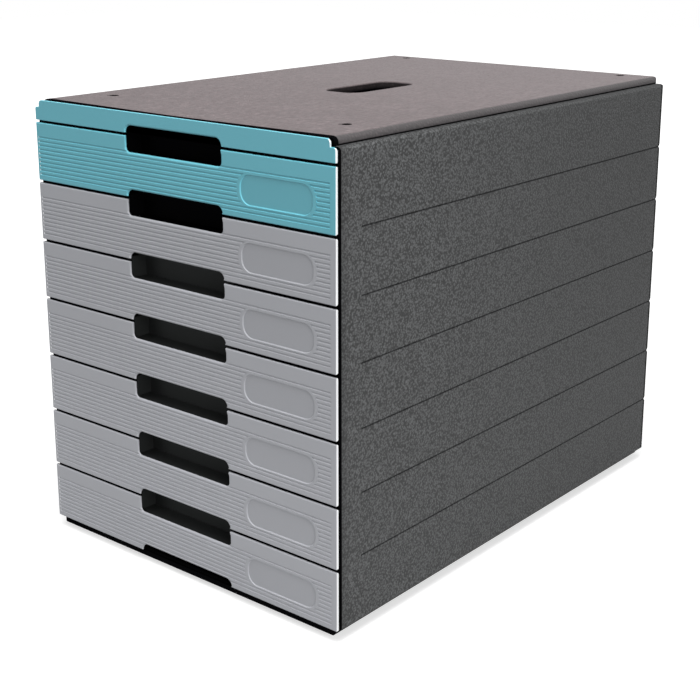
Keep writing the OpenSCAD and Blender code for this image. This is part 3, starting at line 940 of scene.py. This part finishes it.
# %% Snap tabs, and seven copies of the front
TAB_W = 8
TAB_T = 2
TAB_ROOT = 0.2
TAB_TIP = 2
TAB_HOOK = 0.9
TAB_UP = 14
TAB_SPAN = 118.5
TAB_X = [side * share * TAB_SPAN for side in (-1, 1) for share in (0.5, 0.84)]
TRAY_WALL = 2
FIT = 0.1


def add_tabs(piece, height, wall_back):
    """Adds the four snap tabs to the back of a front, hooked behind a wall."""
    tip = wall_back + TAB_TIP
    for x in TAB_X:
        low = (x - TAB_W / 2, front_high.y - TAB_ROOT, height - TAB_T / 2)
        tab = add_block("tab", low, (x + TAB_W / 2, tip, height + TAB_T / 2))
        hook_low = (x - TAB_W / 2, wall_back + FIT, height)
        add_to(tab, add_block("hook", hook_low, (x + TAB_W / 2, tip, height + TAB_T / 2 + TAB_HOOK)))
        add_to(piece, tab)


def copy_down(piece, name, pitches):
    """Copies a piece, with a mesh of its own, some drawer pitches down."""
    make_active(piece)
    bpy.ops.object.duplicate()
    copy = bpy.context.object
    copy.name = name
    bpy.ops.transform.translate(value=(0, 0, -pitches * PITCH * MM))
    bpy.ops.object.transform_apply(location=True)
    return copy


add_tabs(front, GAP_BELOW + TAB_UP, front_high.y + TRAY_WALL)
even_shading(front)
for i in DRAWERS:
    copy = front if i == 1 else copy_down(front, f"front_{i}", i - 1)
    copy.name = f"front_{i}"
    material, slot = (front_teal, "front_teal") if i == 1 else (front_grey, "front_grey")
    finish_piece(copy, material, slot, f"drawer_{i}", f"drawer_front_{i}")
print("fronts:", len(DRAWERS), "of", len(front.data.polygons), "faces each")

# %% [markdown]
# ## Cover with its carrying slot
# The cover is a shallow lid turned upside down: a deck with a hanging wall all round, a slot with a
# collar that fingers can grip, and four holes that locate a second box stacked on top. It is made
# as a mould maker would say it: a soft block, hollowed from below, then cut from above.

# %% Cover
COVER_T = 2.8
SKIRT_T = 2.4
EDGE_R = 2.5
FRONT_EDGE_R = 1
SIDE_EDGE_R = 3.6
COVER_CORNER_R = 3.5
SLOT_HALF = Vector((14.5, 34))
SLOT_R = 10
SLOT_DEPTH = 8
SLOT_RIM_R = 1.4
COLLAR_T = 2
HOLE_R = 2.2
BOSS_R = 4
BOSS_DEPTH = 4.4
VENT_R = 0.7
HOLES_Y = [(ROW_MIDDLE + side * ROW_HALF) / MM for side in (-1, 1)]
FLANGE_T = 2.4
MIDDLE_X = 114.7
FRONT_WALL_UP = 0.5
FRONT_SKIRT_DOWN = 1
JOIN = 0.1  # mm that an added shape reaches into the deck
PAST_DECK = 1  # mm that a cutter reaches past the deck
ROD_SIDES = 40

cover_low, cover_high = (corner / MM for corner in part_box("top_cover"))
shoulder = SHOULDER_Z / MM
deck_front = DECK_FRONT / MM
deck_under = cover_high.z - COVER_T
wall_back = deck_front + SKIRT_T


def add_rod(name, x, y, radius, low_z, high_z):
    """Adds an upright rod. Its sizes are in millimetres."""
    clear_selection()
    middle = Vector((x, y, (low_z + high_z) / 2)) * MM
    bpy.ops.mesh.primitive_cylinder_add(vertices=ROD_SIDES, radius=radius * MM, location=middle,
                                        depth=(high_z - low_z) * MM)
    rod = bpy.context.object
    rod.name = name
    bpy.ops.object.transform_apply(location=True, rotation=True, scale=True)
    return rod


def slot_prism(border, low_z, high_z):
    """The carrying slot, grown by a border."""
    reach = SLOT_HALF + Vector((border, border))
    return add_prism("slot", (-reach.x, -reach.y, low_z), (reach.x, reach.y, high_z), Z,
                     (SLOT_R + border,) * 4)


def on_slot_rim(a, b):
    """Whether an edge lies round the top of the slot."""
    return all(abs(end.x) < SLOT_HALF.x + NEAR and abs(end.y) < SLOT_HALF.y + NEAR
               and abs(end.z - cover_high.z) < NEAR for end in (a, b))


cover = soft_block("top_cover_moulding", (cover_low.x, deck_front, shoulder), cover_high,
                   front_r=(0, 0, SIDE_EDGE_R, SIDE_EDGE_R),
                   side_r=(0, 0, EDGE_R, FRONT_EDGE_R),
                   plan_r=(0, 0, COVER_CORNER_R, COVER_CORNER_R))
carve(cover, add_block("hollow", (cover_low.x + SKIRT_T, wall_back, shoulder - PAST),
                       (cover_high.x - SKIRT_T, cover_high.y - SKIRT_T, deck_under)))
add_to(cover, add_block("front_wall", (-MIDDLE_X, front_low.y + FRONT_T, cover_low.z),
                        (MIDDLE_X, wall_back, shoulder + FRONT_WALL_UP)))
add_to(cover, add_block("front_skirt", (-MIDDLE_X, deck_front, shoulder - FRONT_SKIRT_DOWN),
                        (MIDDLE_X, wall_back, deck_under + JOIN)))
add_to(cover, slot_prism(COLLAR_T, cover_high.z - SLOT_DEPTH, deck_under + JOIN))
above_deck = cover_high.z + PAST_DECK
carve(cover, slot_prism(0, cover_high.z - SLOT_DEPTH - PAST_DECK, above_deck))
round_edges(cover, SLOT_RIM_R, on_slot_rim)
for x in (-HOLE_X / MM, HOLE_X / MM):
    for y in HOLES_Y:
        boss_low = cover_high.z - BOSS_DEPTH
        add_to(cover, add_rod("boss", x, y, BOSS_R, boss_low, deck_under + JOIN))
        carve(cover, add_rod("hole", x, y, HOLE_R, boss_low - PAST_DECK, above_deck))
    carve(cover, add_rod("vent", x + VENT_ASIDE / MM, HOLES_Y[0] + VENT_AHEAD / MM, VENT_R,
                         deck_under - PAST_DECK, above_deck))
print("cover:", len(cover.data.polygons), "faces")

# %% [markdown]
# Under the cover, tongues sit in grooves of the side walls, and six hooks catch behind the walls'
# flanges. Windows in its front wall take the snap tabs of the teal strip.

# %% Tongues, hooks and windows of the cover
TONGUE_HALF_W = 0.7
TONGUE_H = 1.2
TONGUE_END = 10
HOOK_LEN = 14
HOOK_T = 2
HOOK_REACH = 2
HOOK_DROP = 2.2
BOX_DEPTH = 365
HOOK_Y = [share * BOX_DEPTH for share in (-0.33, 0, 0.33)]
STRIP_TAB_DOWN = 2.1
WINDOW_ROOM = 1
COVER_SOFT_W = 0.25


def add_mirrored(piece, name, low, high):
    """Adds a block at the right and its mirror image at the left."""
    add_to(piece, add_block(name, low, high))
    add_to(piece, add_block(name, (-high[0], low[1], low[2]), (-low[0], high[1], high[2])))


tongue_x = cover_high.x - SKIRT_T / 2
hook_low = shoulder - FLANGE_T - FIT - HOOK_DROP
add_mirrored(cover, "tongue", (tongue_x - TONGUE_HALF_W, deck_front + TONGUE_END, shoulder - TONGUE_H),
             (tongue_x + TONGUE_HALF_W, cover_high.y - TONGUE_END, shoulder + FIT))
for y in HOOK_Y:
    near, far = y - HOOK_LEN / 2, y + HOOK_LEN / 2
    add_mirrored(cover, "hook", (MIDDLE_X - HOOK_T, near, hook_low), (MIDDLE_X, far, deck_under + FIT))
    add_mirrored(cover, "catch", (MIDDLE_X - HOOK_T / 2, near, hook_low),
                 (MIDDLE_X + HOOK_REACH, far, hook_low + HOOK_DROP))
window_low_z = shoulder - STRIP_TAB_DOWN - TAB_T / 2 - WINDOW_ROOM
for x in TAB_X:
    window_low = (x - TAB_W / 2 - FIT, front_low.y + FRONT_T - WINDOW_ROOM, window_low_z)
    window_high = (x + TAB_W / 2 + FIT, wall_back + WINDOW_ROOM, shoulder - WINDOW_ROOM)
    carve(cover, add_block("window", window_low, window_high))
soften(cover, COVER_SOFT_W)
even_shading(cover)
finish_piece(cover, cover_grey, "cover_grey", "housing", "top_cover")
print("cover with hooks:", len(cover.data.polygons), "faces")

# %% [markdown]
# ## Pieces kept from the CAD model
# The housing's walls, the trays and the base already have their true shape, but every edge is
# perfectly sharp. A copy of the mesh is merged, its flat faces are made whole again, and its edges
# are broken a little, so that they catch the light as moulded edges do. The strip's notch gets the
# rolled lip of the other notches, and each wall a rounder corner behind the cover.

# %% Softened copies
MERGE_WITHIN = 0.002 * MM
FLAT = math.radians(0.5)
WALL_CORNER_R = 5
HOUSING_SOFT_W = 0.3
TRAY_SOFT_W = 0.25
LIPS = {"top_trim": (LIP_R, on_lip(GAP_BELOW + PITCH))}


def softened_copy(node, name, width):
    """Copies a CAD node's mesh, joins its loose triangles and breaks its sharp edges."""
    piece = bpy.data.objects.new(name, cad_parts[node].data.copy())
    bpy.context.scene.collection.objects.link(piece)
    make_active(piece)
    bpy.ops.mesh.customdata_custom_splitnormals_clear()
    bpy.ops.object.mode_set(mode="EDIT")
    bpy.ops.mesh.select_all(action="SELECT")
    bpy.ops.mesh.remove_doubles(threshold=MERGE_WITHIN)
    bpy.ops.mesh.dissolve_limited(angle_limit=FLAT)
    bpy.ops.object.mode_set(mode="OBJECT")
    if node in LIPS:
        round_edges(piece, *LIPS[node])
    if node.startswith("side_wall"):
        round_rear_corner(piece)
    soften(piece, width)
    even_shading(piece)
    return piece


def round_rear_corner(wall):
    """Rounds the top corner at the rear of a side wall, where it meets the cover's corner."""
    low, high = (corner / MM for corner in (cad_low, cad_high))
    beyond = Vector((1, 1, 1))
    bounds = soft_block("bounds", low - beyond, (high.x + beyond.x, high.y, shoulder),
                        side_r=(0, 0, WALL_CORNER_R, 0))
    combine(wall, bounds, "INTERSECT")


for node, material, slot in (("side_wall_left", housing_charcoal, "housing_charcoal"),
                             ("side_wall_right", housing_charcoal, "housing_charcoal"),
                             ("rear_panel", housing_charcoal, "housing_charcoal"),
                             ("top_trim", front_teal, "front_teal"),
                             ("base_plate", tray_black, "tray_black")):
    piece = softened_copy(node, f"{node}_moulding", HOUSING_SOFT_W)
    finish_piece(piece, material, slot, "housing", node)
    print(piece.name, len(piece.data.polygons), "faces")

tray = softened_copy("drawer_tray_1", "tray_1", TRAY_SOFT_W)
for i in DRAWERS:
    copy = tray if i == 1 else copy_down(tray, f"tray_{i}", i - 1)
    finish_piece(copy, tray_black, "tray_black", f"drawer_{i}", f"drawer_tray_{i}")

for end in ("front", "rear"):
    for side in ("left", "right"):
        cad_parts[f"foot_{end}_{side}"].data.materials[0] = foot_rubber
print("trays:", len(DRAWERS), "of", len(tray.data.polygons), "faces each")

# %% [markdown]
# ## Floor and light
# The box stands on a plain pale floor under soft studio light. The world lights it evenly from all
# round. A large lamp above gives the shadow, one at the right lights the side wall, and a weaker
# one lights the fronts. The camera sees the floor and the world as white, through Light Path.

# %% Floor, world and lamps
WHITE = (1, 1, 1, 1)
FLOOR_GREY = (0.6, 0.6, 0.6, 1)
FLOOR_GLOW = 0.6
HAZE_FROM = 0.5
HAZE_TO = 1.6
FLOOR_W = 8  # m
WORLD_LEVEL = 0.3


def add_floor(width):
    """Adds a matt floor that glows for the camera alone, more and more with the distance."""
    clear_selection()
    bpy.ops.mesh.primitive_plane_add(size=width, location=(0, 0, 0))
    floor = bpy.context.object
    floor.name = "floor"
    material = bpy.data.materials.new("floor_pale")
    material.use_nodes = True
    tree = material.node_tree
    tree.nodes.remove(tree.nodes["Principled BSDF"])
    path = tree.nodes.new("ShaderNodeLightPath")
    seen = Wire(tree, path.outputs["Is Camera Ray"])
    matt = seen.node("ShaderNodeBsdfDiffuse", {}, {"Color": FLOOR_GREY})
    place = Wire(tree, tree.nodes.new("ShaderNodeTexCoord").outputs["Object"])
    away = place.node("ShaderNodeVectorMath", {"operation": "LENGTH"}, {0: place}, output="Value")
    strength = seen * (step_between(away, HAZE_FROM, HAZE_TO) * (1 - FLOOR_GLOW) + FLOOR_GLOW)
    glow = seen.node("ShaderNodeEmission", {}, {"Color": WHITE, "Strength": strength})
    both = seen.node("ShaderNodeAddShader", {}, {0: matt, 1: glow})
    tree.links.new(both.socket, tree.nodes["Material Output"].inputs["Surface"])
    floor.data.materials.append(material)


def light_world(level):
    """Lights the scene evenly, but shows white to the camera and in reflections."""
    world = bpy.data.worlds.new("studio")
    world.use_nodes = True
    bpy.context.scene.world = world
    tree = world.node_tree
    path = tree.nodes.new("ShaderNodeLightPath")
    camera_ray = Wire(tree, path.outputs["Is Camera Ray"])
    mirrored = Wire(tree, path.outputs["Is Glossy Ray"])
    seen = camera_ray.either(mirrored)
    even = seen.node("ShaderNodeBackground", {}, {"Color": WHITE, "Strength": level})
    white = seen.node("ShaderNodeBackground", {}, {"Color": WHITE, "Strength": 1.0})
    mixed = seen.node("ShaderNodeMixShader", {}, {0: seen, 1: even, 2: white})
    tree.links.new(mixed.socket, tree.nodes["World Output"].inputs["Surface"])


def add_lamp(name, place, target, size, power):
    """Adds a square lamp in metres and watts, turned to its target."""
    lamp = bpy.data.objects.new(name, bpy.data.lights.new(name, "AREA"))
    bpy.context.scene.collection.objects.link(lamp)
    lamp.data.size = size
    lamp.data.energy = power
    lamp.location = place
    lamp.rotation_euler = (Vector(target) - Vector(place)).to_track_quat("-Z", "Y").to_euler()


add_floor(FLOOR_W)
light_world(WORLD_LEVEL)
add_lamp("top_lamp", (0.3, -0.4, 1.9), (0, 0, 0.2), size=1.2, power=37)
add_lamp("right_lamp", (1.9, -0.9, 0.7), (0, 0, 0.15), size=1.0, power=17)
add_lamp("front_lamp", (-0.7, -2.2, 0.5), (0, 0, 0.1), size=1.2, power=9)
bpy.context.scene.view_settings.view_transform = "Standard"
print("floor, world and lamps made")
